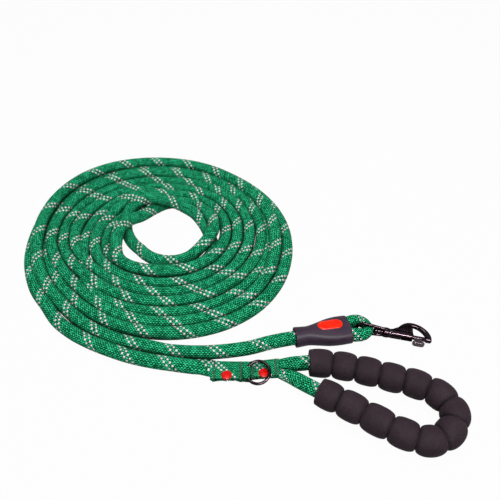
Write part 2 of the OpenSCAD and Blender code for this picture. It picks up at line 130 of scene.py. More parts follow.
# Turns round the coil's centre, as angle, distance and height; the front is at 270 degrees. The
# distances were set one by one, and many runs cut into each other, at worst to 2 mm between middles.
winding_in = [
    [(225, 129, 8), (180, 129.5, 15), (135, 136, 15), (90, 125.5, 13), (45, 119, 13), (0, 122.5, 13),
     (-45, 130, 9)],
    [(270, 120, 8), (225, 105.6, 8), (180, 116.5, 11), (135, 116.5, 11), (90, 107, 11), (45, 106, 8),
     (0, 108.4, 8), (-45, 104.3, 9)],
    [(270, 95, 8), (225, 92, 10), (180, 104.2, 8), (135, 104, 8), (90, 94.5, 8), (45, 96.5, 8),
     (0, 95.3, 8.6), (-45, 91.7, 8)],
    [(270, 82.8, 8), (225, 79.5, 8), (180, 92, 9), (135, 91.5, 8), (90, 82, 8), (45, 84.5, 8), (0, 82.5, 8.4),
     (-45, 78.6, 8.8)],
    [(270, 70.5, 8), (225, 69, 8.5), (202, 70, 8), (180, 69, 8.5), (150, 66, 9.5), (120, 67, 16),
     (90, 69.5, 9), (45, 72, 8), (0, 69.6, 9), (-45, 66.5, 13)],
    [(270, 58, 14), (225, 55.5, 14), (202, 47.5, 16), (180, 43, 18), (157, 38.5, 17), (135, 35.5, 14),
     (112, 43, 9), (90, 56, 6.6), (67, 62, 6.6), (45, 60, 10), (22, 58, 16), (0, 57, 17.5), (-22, 52, 16),
     (-45, 48.5, 11)],
    [(270, 36.5, 8), (248, 31, 7), (225, 28, 6.6), (202, 30, 6.6), (180, 34.5, 6.6), (157, 43, 8),
     (135, 52.5, 14), (112, 54.5, 18), (90, 49, 18.5), (67, 46, 16), (45, 48.5, 11), (22, 49.5, 7),
     (0, 53, 6.6), (-22, 61, 6.6), (-45, 61, 6.6)],
    [(270, 58.5, 6.6), (225, 58.2, 6.6), (202, 58.3, 6.6), (180, 57, 6.6), (157, 55.5, 6.6),
     (138, 53.5, 6.6)]]
turning_back = [(128, 53.5, 6.6), (118.3, 57.6, 6.6), (115.8, 67.4, 6.6), (120.6, 76.6, 6.6),
                (128, 79.8, 6.6)]
winding_out = [(138, 79.5, 6.6), (157, 79.2, 6.6), (180, 80, 6.6), (202, 83.5, 6.6), (225, 96.5, 6.6),
               (270, 107.5, 7), (315, 116.9, 6.6), (360, 117, 6.6), (405, 112, 6.6), (450, 119.5, 6.6),
               (495, 127, 6.6), (540, 122, 6.6), (585, 117.6, 6.6), (600, 120.8, 6.6), (630, 131, 7),
               (675, 142.6, 7), (720, 134, 7), (765, 126, 6.6), (810, 131, 6.6), (855, 138, 6.6),
               (900, 135, 6.6), (945, 140.5, 7)]


def eased(knots, values, places):
    """Values between knots on a smooth curve that passes through each one."""
    knots, values, places = (np.asarray(v, float) for v in (knots, values, places))
    slopes = np.gradient(values, knots)
    i = np.clip(np.searchsorted(knots, places) - 1, 0, len(knots) - 2)
    gap = knots[i + 1] - knots[i]
    t = (places - knots[i]) / gap
    return ((2 * t**3 - 3 * t**2 + 1) * values[i] + (t**3 - 2 * t**2 + t) * gap * slopes[i]
            + (3 * t**2 - 2 * t**3) * values[i + 1] + (t**3 - t**2) * gap * slopes[i + 1])


def on_coil(swept, distance, height):
    """Places on the table from angles, distances and heights about the coil's centre."""
    angle = np.radians(swept)
    return np.column_stack([COIL_CENTRE[0] + np.asarray(distance) * np.cos(angle),
                            COIL_CENTRE[1] + np.asarray(distance) * np.sin(angle), height])


def wound(turns, way):
    """Points at even angles along turns whose angles rise (way 1) or fall (way -1)."""
    turns = np.array(turns, float)
    swept = turns[:, 0] * way
    places = np.append(np.arange(swept[0], swept[-1], TURN_STEP), swept[-1])
    return on_coil(places * way, eased(swept, turns[:, 1], places), eased(swept, turns[:, 2], places))


def smooth_line(points, step):
    """A smooth line through points, with places at equal steps along it."""
    points = np.asarray(points, float)
    padded = np.vstack([2 * points[0] - points[1], points, 2 * points[-1] - points[-2]])
    t = np.linspace(0, 1, 16, endpoint=False)[:, None]
    fine = []
    for a, b, c, d in zip(padded, padded[1:], padded[2:], padded[3:]):
        fine.append(((2 * b) + (c - a) * t + (2 * a - 5 * b + 4 * c - d) * t**2
                     + (3 * b - a - 3 * c + d) * t**3) / 2)
    fine = np.vstack(fine + [points[-1:]])
    run = np.append(0, np.cumsum(np.linalg.norm(np.diff(fine[:, :3], axis=0), axis=1)))
    places = np.linspace(0, run[-1], max(2, round(run[-1] / step)) + 1)
    return np.column_stack([np.interp(places, run, column) for column in fine.T]), places


inner_turns = [(angle - 360 * turn, distance, height)
               for turn, row in enumerate(winding_in) for angle, distance, height in row]
fold_angle, fold_distance, fold_height = zip(*turning_back)
route = np.vstack([from_sleeve, wound(inner_turns, -1), on_coil(fold_angle, fold_distance, fold_height),
                   wound(winding_out, 1), from_strap[::-1]])
rope_line, rope_run = smooth_line(route, RING_STEP)
# Its last stretch is pressed flat to go into the strap
PRESSED_RUN, WIDENED, THINNED = 20.0, 2.8, 3.8
pressing = np.clip((rope_run - rope_run[-1]) / PRESSED_RUN + 1, 0, 1)
pressing = pressing * pressing * (3 - 2 * pressing)
rope_half_w = ROPE_D / 2 + WIDENED * pressing
rope_half_t = ROPE_D / 2 - THINNED * pressing
rope_line[:, 2] = np.maximum(rope_line[:, 2], rope_half_t)


def unit(vectors):
    """The same directions at length one."""
    return vectors / np.linalg.norm(vectors, axis=1)[:, None]


def across_and_up(line):
    """For each place of a line, the level direction across it and the direction up from it."""
    along = unit(np.gradient(line[:, :3], axis=0))
    across = unit(np.cross([0, 0, 1], along))
    return across, np.cross(along, across)


DOWN = -np.pi / 2


def full_turn(sides, start=0.0):
    """Angles evenly round one turn."""
    return np.arange(sides) / sides * 2 * np.pi + start


def squared(wave, power):
    """A sine or cosine raised to a power, with its sign: it turns an oval into a rounded box."""
    return np.sign(wave) * np.abs(wave) ** power


def tube_rings(line, half_width, half_height, sides, squareness=2.0):
    """Rings of points round a line; squareness 2 is an oval, and more is a rounded box."""
    across, up = across_and_up(line)
    turn = full_turn(sides, DOWN)
    wide, high, box = (np.broadcast_to(v, len(line))[:, None] for v in (half_width, half_height, squareness))
    c = squared(np.cos(turn), 2 / box) * wide
    s = squared(np.sin(turn), 2 / box) * high
    return line[:, None, :3] + across[:, None] * c[..., None] + up[:, None] * s[..., None]


def ring_faces(rows, sides, first=0):
    """Faces between neighbouring rings, counted from the point called first."""
    return [(first + r * sides + k, first + r * sides + (k + 1) % sides,
             first + (r + 1) * sides + (k + 1) % sides, first + (r + 1) * sides + k)
            for r in range(rows - 1) for k in range(sides)]


def end_faces(rows, sides, first=0):
    """The two flat faces that close the first and the last ring."""
    last = first + (rows - 1) * sides
    return [tuple(range(first + sides - 1, first - 1, -1)), tuple(range(last, last + sides))]


def new_piece(name, points, faces, material, body):
    """A smooth piece from points in millimetres, with its material, riding on a body."""
    mesh = bpy.data.meshes.new(name)
    mesh.from_pydata((np.asarray(points, float) * MM).tolist(), [], faces)
    mesh.materials.append(material)
    mesh.polygons.foreach_set("use_smooth", [True] * len(mesh.polygons))
    piece = bpy.data.objects.new(name, mesh)
    bpy.context.scene.collection.objects.link(piece)
    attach(piece, body)
    return piece


def skinned(name, rings, material, body, lay=None, closed_ends=True, matrix=None):
    """A piece whose skin runs through rings. lay, one number a ring, is kept with the turn as 'lay'."""
    rows, sides = rings.shape[:2]
    points = rings.reshape(-1, 3)
    if matrix is not None:
        points = points @ np.array(matrix.to_3x3()).T + np.array(matrix.translation)
    faces = ring_faces(rows, sides) + (end_faces(rows, sides) if closed_ends else [])
    piece = new_piece(name, points, faces, material, body)
    if lay is not None:
        chart = piece.data.uv_layers.new(name="lay")
        places = np.zeros((len(chart.data), 2))
        turn = np.arange(sides) / sides
        side = np.tile(np.stack([turn, turn + 1 / sides, turn + 1 / sides, turn], 1), (rows - 1, 1))
        run = np.repeat(np.stack([lay[:-1], lay[:-1], lay[1:], lay[1:]], 1), sides, 0)
        places[:side.size] = np.column_stack([run.reshape(-1), side.reshape(-1)])
        chart.data.foreach_set("uv", places.reshape(-1))
    return piece


# Braided polyester cover: 14 carriers each way of three yarns, over one and under one. Two pale
# carriers give the paired rows of flecks. Each pick stands up like a small bead: its edges are painted
# darker as shade and its crown lighter as a painted highlight, and where the rope lies close to other
# runs or the table its colour is darkened as painted shade. The yarn's own fibres leave it soft, with no
# gloss.
CARRIERS = 14
LAY_LENGTH = 38.7          # length of rope in which a carrier goes once round
RIBS = 20                  # lengthwise ribs round the rope


def braided(name, pick_depth, shade, body_colour, painted_crown_highlight):
    """A braided cover of three greens: painted shade, its own green, painted highlight. pick_depth is the
    depth of its relief in millimetres.
    """
    cover, tree = finish_named(name)
    chart = add(tree, "UVMap", uv_map="lay")
    run, turn = add(tree, "SeparateXYZ", chart, out=slice(2))
    place = add(tree, "TexCoord", out=3)
    wobble = add(tree, "TexNoise", sockets={"Vector": place, "Scale": 260.0, "Detail": 2.0})
    wobble = add(tree, "Math", wobble, -0.5, operation="ADD")
    run = add(tree, "Math", wobble, 0.006, run, operation="MULTIPLY_ADD")
    one = add(tree, "Math", run, turn, operation="ADD")
    one = add(tree, "Math", one, CARRIERS, operation="MULTIPLY")
    other = add(tree, "Math", run, turn, operation="SUBTRACT")
    other = add(tree, "Math", other, CARRIERS, operation="MULTIPLY")
    one_at, other_at = (add(tree, "Math", v, operation="FLOOR") for v in (one, other))
    one_in, other_in = (add(tree, "Math", v, operation="FRACT") for v in (one, other))
    over = add(tree, "Math", one_at, other_at, operation="ADD")
    over = add(tree, "Math", over, 2.0, operation="FLOORED_MODULO")
    across = add(tree, "Mix", over, sockets={2: other_in, 3: one_in}, data_type="FLOAT")
    along = add(tree, "Mix", over, sockets={2: one_in, 3: other_in}, data_type="FLOAT")
    # Height of a pick: round across the carrier, falling where it dives under, ribbed by its yarns
    offs = [add(tree, "Math", v, 2.0, -1.0, operation="MULTIPLY_ADD") for v in (across, along)]
    offs = [add(tree, "Math", off, 2.0, operation="POWER") for off in offs]
    crown = add(tree, "Math", offs[0], -0.75, 1.0, operation="MULTIPLY_ADD")
    dive = add(tree, "Math", offs[1], -0.7, 1.0, operation="MULTIPLY_ADD")
    pick = add(tree, "Math", crown, dive, operation="MULTIPLY")
    yarns = add(tree, "Math", across, 6 * math.pi, math.pi, operation="MULTIPLY_ADD")
    yarns = add(tree, "Math", yarns, operation="COSINE")
    height = add(tree, "Math", yarns, 0.12, pick, operation="MULTIPLY_ADD")
    # The picks meet in lengthwise ribs, drawn a little coarser than real so that they show; through the
    # colour below, their grooves are also painted darker as shade
    ribs = add(tree, "Math", turn, 2 * math.pi * RIBS, operation="MULTIPLY")
    ribs = add(tree, "Math", ribs, operation="COSINE")
    height = add(tree, "Math", ribs, 0.2, height, operation="MULTIPLY_ADD")
    # Colour: painted shade in deep green between the picks and a painted highlight on their crowns;
    # a random tone makes it uneven from yarn to yarn
    spot = add(tree, "CombineXYZ", one_at, other_at, over)
    chance = add(tree, "TexWhiteNoise", spot, noise_dimensions="3D")
    chance = add(tree, "Math", chance, -0.5, operation="ADD")
    random_tone_and_painted_light = add(tree, "Math", chance, 0.4, height, operation="MULTIPLY_ADD")
    cloth_and_painted_light = add(tree, "Mix", add(tree, "MapRange", random_tone_and_painted_light, 0.1, 0.6), out=2, data_type="RGBA",
                sockets={6: linear(shade), 7: linear(body_colour)})
    cloth_and_painted_light = add(tree, "Mix", add(tree, "MapRange", random_tone_and_painted_light, 0.6, 1.15), out=2, data_type="RGBA",
                sockets={6: cloth_and_painted_light, 7: linear(painted_crown_highlight)})
    # Flecks: the first and third carriers of one way are pale
    apart = add(tree, "Math", other_at, CARRIERS, operation="FLOORED_MODULO")
    apart = add(tree, "Math", apart, -1.0, operation="ADD")
    apart = add(tree, "Math", apart, operation="ABSOLUTE")
    pale = add(tree, "Math", apart, 1.0, 0.2, operation="COMPARE")
    pale = add(tree, "Math", pale, add(tree, "Math", 1.0, over, operation="SUBTRACT"), operation="MULTIPLY")
    pale = add(tree, "Math", pale, add(tree, "MapRange", pick, 0.1, 0.4), operation="MULTIPLY")
    cloth_and_painted_light = add(tree, "Mix", pale, out=2, data_type="RGBA", sockets={6: cloth_and_painted_light, 7: linear("#E9DDE3")})
    # Painted shade: where the rope lies close to other runs or to the table, ambient occlusion darkens
    # its colour towards near black
    occlusion_for_painted_shade = add(tree, "AmbientOcclusion", out=1, sockets={"Distance": 11 * MM}, samples=6)
    depth = add(tree, "MapRange", occlusion_for_painted_shade, 0.25, 0.85, 0.12, 1.0)
    cloth_and_painted_light = add(tree, "Mix", depth, out=2, data_type="RGBA", sockets={6: linear("#000A06"), 7: cloth_and_painted_light})
    relief = add(tree, "Bump", sockets={"Strength": 1.0, "Distance": pick_depth * MM, "Height": height})
    cover_surface = add(tree, "BsdfPrincipled", sockets={
        "Base Color": cloth_and_painted_light, "Roughness": 0.7, "Specular IOR Level": 0.02, "Normal": relief})
    add(tree, "OutputMaterial", cover_surface, out=slice(0))
    return cover


# Greens: painted shade between the picks, the braid's own green, painted highlight on the crowns
rope_cover = braided("braided_polyester", 0.7, "#000C06", "#006C3F", "#44E8AA")

rope = skinned("long_rope", tube_rings(rope_line, rope_half_w, rope_half_t, 20), rope_cover, "leash",
               lay=(rope_run + LAY_START) / LAY_LENGTH)
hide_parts("rope_coil", "hook_lead", "handle_lead")

# ---------------------------------------------------------------------------------------------
# Rope eye
# The rope's end, turned back on itself in an open eye for the hook's link. It is the same braid,
# pulled thinner, and an aluminium clamp crimps the two runs together inside the sleeve.
# ---------------------------------------------------------------------------------------------
EYE_ROPE_D = 11.0
in_sleeve = Matrix.Translation((-32, 48.4, 8.8)) @ Matrix.Rotation(math.radians(9.7), 4, "Z")
# Along the sleeve, across, height over its axis, diameter
eye_route = [(13.2, 0, 0, EYE_ROPE_D), (17, 0.5, 0, EYE_ROPE_D), (24, 3.4, 0, EYE_ROPE_D),
             (32, 7.1, 0, EYE_ROPE_D), (40, 6.8, 0, EYE_ROPE_D), (48, 6.9, 0.9, 12.4), (55, 8.4, 0.9, 12.8),
             (61, 8.8, 0.9, 11.6), (66, 5.4, 0.9, 10.2), (68, 0.8, 0.9, 9.6), (67, -4.4, 0.9, 10),
             (61.6, -7.5, 0.9, 11.8), (55, -7.1, 0.9, 12.6), (48, -5.8, 0.9, 12.4), (40, -6, 0, EYE_ROPE_D),
             (32, -6, 0, EYE_ROPE_D)]
eye_line, eye_run = smooth_line(eye_route, 1.2)
eye_rings = tube_rings(eye_line, eye_line[:, 3] / 2, eye_line[:, 3] / 2, 28)
eye = skinned("rope_end_eye", eye_rings, rope_cover, "leash", lay=eye_run / LAY_LENGTH * ROPE_D / EYE_ROPE_D,
              matrix=in_sleeve)
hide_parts("rope_eye")


def clouded(tree, scale, detail, colour, other, low=0.3, high=0.7):
    """Soft clouds of noise, and a colour that drifts with them between two shades."""
    place = add(tree, "TexCoord", out=3)
    cloud = add(tree, "TexNoise", sockets={"Vector": place, "Scale": scale, "Detail": detail})
    shade = add(tree, "Mix", add(tree, "MapRange", cloud, low, high), out=2, data_type="RGBA",
                sockets={6: linear(colour), 7: linear(other)})
    return place, cloud, shade


def metal(name, colour, worn_colour, roughness, grain, grain_depth):
    """Plated or bare metal. grain is how many specks lie along a metre, grain_depth their millimetres."""
    plating, tree = finish_named(name)
    place, _, shade = clouded(tree, 90.0, 3.0, colour, worn_colour, 0.35)
    fine = add(tree, "TexNoise", sockets={"Vector": place, "Scale": grain, "Detail": 2.0})
    dull = add(tree, "MapRange", fine, 0.3, 0.7, roughness * 0.8, roughness * 1.25)
    relief = add(tree, "Bump", sockets={"Strength": 1.0, "Distance": grain_depth * MM, "Height": fine})
    skin = add(tree, "BsdfPrincipled", sockets={
        "Base Color": shade, "Metallic": 1.0, "Roughness": dull, "Specular Tint": linear("#8C8A90"),
        "Normal": relief})
    add(tree, "OutputMaterial", skin, out=slice(0))
    return plating


def dress(finish, *nodes):
    """Gives the CAD solids of nodes a finish; they stay as they are."""
    for name in nodes:
        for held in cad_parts[name].material_slots:
            held.material = finish


# Crimped aluminium: pale and dull, with a brushed grain
crimped_aluminium = metal("crimped_aluminium", "#B4B6B8", "#C9CBCC", 0.4, 900.0, 0.02)
dress(crimped_aluminium, "eye_ferrule")

# ---------------------------------------------------------------------------------------------
# Sleeve
# One flared tube of soft black PVC with a satin skin, pushed over the joint. Its narrow end grips
# the rope and its flat wide end stands open round the eye, with rolled rims at both.
# ---------------------------------------------------------------------------------------------
SLEEVE_L = 51.0
WALL = 1.2
SLEEVE_START = -1.0
# Along the sleeve, half width, half thickness, squareness, how far the flare leans aside
sleeve_rows = [(-1, 9.7, 9.3, 2, 0), (1.5, 9.6, 9.2, 2, 0), (6, 9.2, 9, 2, 0), (12, 9.1, 8.9, 2, 0),
               (21, 11.3, 8.8, 2.2, 0.2), (30, 13.5, 8.6, 2.5, 0.6), (40, 14.5, 8.3, 2.7, 1),
               (SLEEVE_L, 14.2, 8, 2.8, 1.2)]
# The wide rim's far half is cut back, by this share of its distance from the middle
RIM_LEAN, LEAN_FROM = 0.1, 38.0


def sleeve_at(places):
    """The sleeve's middle line, half width, half thickness and squareness at places along it."""
    rows, _ = smooth_line(sleeve_rows, 1.0)
    width, height, squareness, lean = (np.interp(places, rows[:, 0], rows[:, k]) for k in (1, 2, 3, 4))
    return [np.column_stack([places, lean, 0 * places]), width, height, squareness]


def sleeve_skin(grow, start, end, step):
    """Rings along the sleeve's outside, moved out by grow."""
    line, width, height, squareness = sleeve_at(np.linspace(start, end, round((end - start) / step) + 1))
    return line, width + grow, height + grow, squareness


def rolled_rim(end, way, steps=7):
    """Rings over a rim, from the outside to the inside: way is 1 at the wide end and -1 at the narrow one."""
    turn = np.linspace(0, np.pi, steps)
    line, width, height, squareness = sleeve_at(np.full(steps, end))
    fall = WALL / 2 * (1 - np.cos(turn))
    line[:, 0] += way * WALL / 2 * (np.sin(turn) - 1)
    return line, width - fall, height - fall, squareness


outer = sleeve_skin(0, SLEEVE_START + WALL, SLEEVE_L - WALL, 1.0)
inner = [part[::-1] for part in sleeve_skin(-WALL, SLEEVE_START + WALL, SLEEVE_L - WALL, 1.0)]
rims = rolled_rim(SLEEVE_L, 1), [part[::-1] for part in rolled_rim(SLEEVE_START, -1)]
shell = [np.concatenate(parts) for parts in zip(outer, rims[0], inner, rims[1], [part[:1] for part in outer])]
SLEEVE_SIDES = 96


def upright_rings(line, width, height, squareness, turn):
    """Rings that stand square to the sleeve's straight axis."""
    power = (2 / squareness)[:, None]
    c = squared(np.cos(turn), power) * width[:, None]
    s = squared(np.sin(turn), power) * height[:, None]
    flared = np.clip((line[:, :1] - LEAN_FROM) / (SLEEVE_L - LEAN_FROM), 0, 1)
    back = RIM_LEAN * np.clip(c, 0, None) * flared
    return np.stack([line[:, :1] - back, line[:, 1:2] + c, s], axis=2)


WELD = 0.00001             # points nearer than this become one


def closed_up(mesh, weld=True):
    """Welds a skin's doubled points and turns its faces outwards."""
    edit = bmesh.new()
    edit.from_mesh(mesh)
    if weld:
        bmesh.ops.remove_doubles(edit, verts=edit.verts, dist=WELD)
    bmesh.ops.recalc_face_normals(edit, faces=edit.faces)
    edit.to_mesh(mesh)
    edit.free()


# Soft PVC: charcoal black with fine moulded pores that spread its shine to a satin
soft_pvc, tree = finish_named("soft_pvc")
place, cloud, shade = clouded(tree, 70.0, 3.0, "#30242F", "#3C2F3E")
pores = add(tree, "TexNoise", sockets={"Vector": place, "Scale": 2600.0, "Detail": 2.0})
dull = add(tree, "MapRange", cloud, 0.3, 0.7, 0.36, 0.46)
relief = add(tree, "Bump", sockets={"Strength": 1.0, "Distance": 0.03 * MM, "Height": pores})
surface = add(tree, "BsdfPrincipled", sockets={
    "Base Color": shade, "Roughness": dull, "Specular IOR Level": 0.06, "Normal": relief})
add(tree, "OutputMaterial", surface, out=slice(0))

sleeve_rings = upright_rings(*shell, full_turn(SLEEVE_SIDES, DOWN))
sleeve = skinned("pvc_sleeve", sleeve_rings, soft_pvc, "leash", closed_ends=False, matrix=in_sleeve)
closed_up(sleeve.data)
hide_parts("hook_sleeve")

# ---------------------------------------------------------------------------------------------
# Badge
# A small oval of glossy red vinyl, slightly domed, welded to the sleeve's upper face. It is bare.
# ---------------------------------------------------------------------------------------------
BADGE = np.array([32.5, 3.1])
BADGE_L, BADGE_W, BADGE_T = 24.0, 11.6, 0.6


def sleeve_top(x, y):
    """Height of the sleeve's upper face over its axis."""
    (line,), (width,), (height,), (squareness,) = sleeve_at(np.array([x]))
    off = min(abs(y - line[1]) / width, 1)
    return height * (1 - off ** squareness) ** (1 / squareness)


badge_points = []
STRIPS, SPOKES = 12, 72
EDGE_SHARE = 0.2           # share of the way to the middle over which the edge rounds up
DOME, SUNK = 0.25, 0.3     # rise of the middle over the edge, and how deep the rim sits in the sleeve
for strip in range(STRIPS + 1):
    inset = 1 - strip / STRIPS
    rounding = math.sqrt(1 - max(0.0, 1 - strip / STRIPS / EDGE_SHARE) ** 2)
    for spoke in range(SPOKES):
        angle = 2 * math.pi * spoke / SPOKES
        end = math.copysign(BADGE_L / 2 - BADGE_W / 2, math.cos(angle))
        x = BADGE[0] + (end + math.cos(angle) * BADGE_W / 2) * inset
        y = BADGE[1] + math.sin(angle) * BADGE_W / 2 * inset
        lift = BADGE_T * rounding + DOME * (1 - inset ** 2) - (0 if strip else SUNK)
        badge_points.append((x, y, sleeve_top(x, y) + lift))
badge_points = [tuple(in_sleeve @ Vector(point)) for point in badge_points]


def glossy_red(name, cloud_scale, colour, other, gloss, roughness, swell, swell_depth):
    """A smooth red skin whose shade, shine and surface wander a little, as a moulded or dipped one does."""
    skin, tree = finish_named(name)
    _, cloud, shade = clouded(tree, cloud_scale, 3.0, colour, other)
    dull = add(tree, "MapRange", cloud, 0.3, 0.7, *roughness)
    relief = add(tree, "Bump", sockets={"Strength": swell, "Distance": swell_depth * MM, "Height": cloud})
    surface = add(tree, "BsdfPrincipled", sockets={
        "Base Color": shade, "Roughness": dull, "Specular IOR Level": gloss, "Normal": relief})
    add(tree, "OutputMaterial", surface, out=slice(0))
    return skin


# Vinyl: bright orange-red under a soft shine
red_vinyl = glossy_red("red_vinyl", 160.0, "#E01A04", "#EC2806", 0.12, (0.22, 0.34), 0.6, 0.05)
badge = new_piece("bare_badge", badge_points, ring_faces(STRIPS + 1, SPOKES), red_vinyl, "leash")
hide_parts("sleeve_badge")

# ---------------------------------------------------------------------------------------------
# Swivel
# A forged link with a collar hangs in the rope eye, and a riveted stud turns in the collar over a
# washer of blued steel. Link and stud are plated black nickel, a dark mirror with a warm grey cast.
# ---------------------------------------------------------------------------------------------
in_hook = (Matrix.Translation((34.6, 57.6, 9.7)) @ Matrix.Rotation(math.radians(-8.8), 4, "Z")
           @ Matrix.Rotation(math.radians(6), 4, "Y"))
COLLAR_FROM, COLLAR_TO, COLLAR_R = 15.0, 20.0, 4.7
STUD_R = 2.2
LINK_WIRE_D = 3.0
ROUND = full_turn(40)


def turned(section):
    """Rings of a piece turned about the hook's own length. section is (along, radius)."""
    return np.array([np.column_stack([0 * ROUND + x, r * np.cos(ROUND), r * np.sin(ROUND)])
                     for x, r in section])


def bar_rings(middle, radius, one_way, other_way):
    """Round rings about a line of middles, from the two directions square to it."""
    c, s = np.cos(ROUND)[None, :, None], np.sin(ROUND)[None, :, None]
    return middle[:, None] + radius * (c * one_way + s * other_way)


def loose_form(name, rings):
    """An object of one closed skin through rings, in the hook's place."""
    shape = rings.shape[:2]
    points = [tuple(in_hook @ Vector(point) * MM) for point in rings.reshape(-1, 3).tolist()]
    mesh = bpy.data.meshes.new(name)
    mesh.from_pydata(points, [], ring_faces(*shape) + end_faces(*shape))
    closed_up(mesh, weld=False)
    form = bpy.data.objects.new(name, mesh)
    bpy.context.scene.collection.objects.link(form)
    return form


def melted(name, solids, cutters, finish, body, node, voxel=0.24, rounds=5):
    """One cast or forged piece: solids melted together with soft corners, then cut by sharp cutters."""
    forms = [loose_form(name, rings) for rings in solids]
    tools = [loose_form(name, rings) for rings in cutters]
    with bpy.context.temp_override(active_object=forms[0], object=forms[0], selected_editable_objects=forms):
        bpy.ops.object.join()
    steps = [("REMESH", {"mode": "VOXEL", "voxel_size": voxel * MM}),
             ("SMOOTH", {"factor": 0.5, "iterations": rounds})]
    steps += [("BOOLEAN", {"operation": "DIFFERENCE", "solver": "MANIFOLD", "object": tool})
              for tool in tools]
    for kind, settings in steps:
        step = forms[0].modifiers.new(kind.lower(), kind)
        for key, value in settings.items():
            setattr(step, key, value)
    bpy.context.view_layer.update()
    mesh = bpy.data.meshes.new_from_object(forms[0].evaluated_get(bpy.context.evaluated_depsgraph_get()))
    for spare in forms[:1] + tools:
        bpy.data.objects.remove(spare)
    mesh.name = name
    mesh.materials.clear()
    mesh.materials.append(finish)
    mesh.polygons.foreach_set("use_smooth", [True] * len(mesh.polygons))
    piece = bpy.data.objects.new(name, mesh)
    bpy.context.scene.collection.objects.link(piece)
    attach(piece, body)
    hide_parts(node)


black_nickel = metal("black_nickel", "#1E171A", "#2E2529", 0.1, 500.0, 0.002)
# The link's wire: round the rope, then along both sides of the stud into the collar
link_half = [(17, 0, 4.1), (12, 0, 4.7), (6, 0, 5.5), (0, 0, 6.25), (-4, 0, 6.5), (-7.6, 0, 4.6),
             (-9.4, 0, 1.8)]
link_way = link_half + [(-9.6, 0, 0)] + [(x, y, -z) for x, y, z in link_half[::-1]]
link_line, _ = smooth_line(link_way, 0.6)
SIDEWAYS, UPWARDS = np.array([0, 1, 0]), np.array([0, 0, 1])
link_side = np.cross(unit(np.gradient(link_line, axis=0)), SIDEWAYS)
link_rings = bar_rings(link_line, LINK_WIRE_D / 2, SIDEWAYS, link_side[:, None])
collar_section = [(COLLAR_FROM, 3.6), (COLLAR_FROM + 0.1, 4.2), (COLLAR_FROM + 0.7, COLLAR_R),
                  (COLLAR_TO - 0.9, COLLAR_R), (COLLAR_TO - 0.2, 4.3), (COLLAR_TO, 3.6)]
collar_bore = turned([(10, STUD_R + 0.1), (25, STUD_R + 0.1)])
melted("forged_link", [link_rings, turned(collar_section)], [collar_bore], black_nickel, "link",
       "swivel_bail", voxel=0.2, rounds=4)
stud_section = [(5.6, 0.01), (5.65, 1.2), (6.0, 2.2), (6.8, 3.0), (7.8, 3.3), (9.4, 3.2), (9.8, 2.7),
                (10.3, 2.5), (10.6, 2.7), (12.2, 2.7), (12.5, 2.45), (12.9, 2.45), (13.2, 2.7), (14.4, 2.7),
                (14.7, 2.4), (14.7, STUD_R), (25, STUD_R), (25, 0.01)]
stud = skinned("turned_stud", turned(stud_section), black_nickel, "hook", matrix=in_hook)
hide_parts("swivel_stud")
# Blued steel: nearly black, but duller than the plating round it
blued_steel = metal("blued_steel", "#332B2F", "#453C41", 0.28, 900.0, 0.01)
dress(blued_steel, "swivel_washer")

# ---------------------------------------------------------------------------------------------
# Snap hook
# Die-cast zinc body with a ribbed web, a round bow and a barrel, tumbled so that every edge is soft.
# A steel bolt slides in the barrel against a spring. Both are plated black nickel, and the bolt's
# cast thumb knob is plated the same but duller, with a lighter base colour as a painted sheen.
# ---------------------------------------------------------------------------------------------
BARREL_TO, BARREL_R = 42.5, 4.2
BOLT_R = 2.1
BOLT_FROM, BOLT_TO = 39.0, 57.8
SEAT_FROM, NOSE_TO = 54.5, 60.0
TRAVEL = 10.0
# The web between the barrel and the bow: along, its middle, half height, half thickness, squareness
web_rows = [(21, 0, 3.9, 3.9, 2), (22.5, 0, 4.1, 4.0, 2.1), (24.5, 0.7, 4.8, 3.5, 2.4),
            (28, 1.9, 5.9, 3.0, 2.8), (33, 3.3, 7.2, 2.9, 3.2), (36, 4.1, 8.1, 2.8, 3.4),
            (39, 4.4, 8.4, 2.7, 3.4), (41.6, 4.3, 8.1, 2.6, 3.2), (42.4, 4.3, 7.8, 2.2, 3)]


def section_rings(rows):
    """Rings square to the hook's length: along, middle, half height, half thickness, squareness."""
    return np.array([np.column_stack([0 * ROUND + x, middle + half_y * squared(np.cos(ROUND), 2 / squareness),
                                      half_z * squared(np.sin(ROUND), 2 / squareness)])
                     for x, middle, half_y, half_z, squareness in rows])


# The bow's bar: along, across, radius
bow_way = [(31, 7.6, 2.2), (34, 10.6, 2.5), (38, 13.2, 2.5), (42.5, 14.0, 2.4), (47, 13.2, 2.45),
           (51.4, 10.9, 2.6), (55, 7.3, 2.75), (57, 3.4, 2.8), (57.3, 0.9, 2.7), (57.2, -0.4, 2.4)]
bow_line, _ = smooth_line(bow_way, 0.7)
bow_along = unit(np.gradient(bow_line[:, :2], axis=0))
bow_out = np.column_stack([bow_along[:, 1], -bow_along[:, 0], 0 * bow_along[:, 0]])
bow_middle = np.column_stack([bow_line[:, :2], 0 * bow_line[:, 0]])
bow_rings = bar_rings(bow_middle, bow_line[:, 2, None, None], bow_out[:, None], UPWARDS)
barrel_section = [(21, 3.4), (21.4, 4.1), (22.4, 4.4), (25, 4.3), (BARREL_TO - 1.5, BARREL_R),
                  (BARREL_TO - 0.4, 4.0), (BARREL_TO, 3.5)]
nose_section = [(SEAT_FROM, 2.6), (SEAT_FROM + 0.3, 2.85), (NOSE_TO - 1.3, 2.7), (NOSE_TO - 0.4, 2.0),
                (NOSE_TO - 0.1, 1.0)]
# Ribs across the web, each further out and longer than the last, as the web widens
RIB_T, FIRST_RIB = 1.2, 25
ribs = [section_rings([(x, 3.6 + (start - FIRST_RIB) * 0.28, 1.6 + (start - FIRST_RIB) * 0.22, 3.3, 4)
                       for x in (start, start + RIB_T)]) for start in range(FIRST_RIB, 41, 3)]
BORE_R = BOLT_R + 0.12
bore = turned([(28.4, BORE_R), (BARREL_TO + 1, BORE_R)])
seat = turned([(SEAT_FROM - 1, BORE_R), (NOSE_TO - 1.6, BORE_R)])
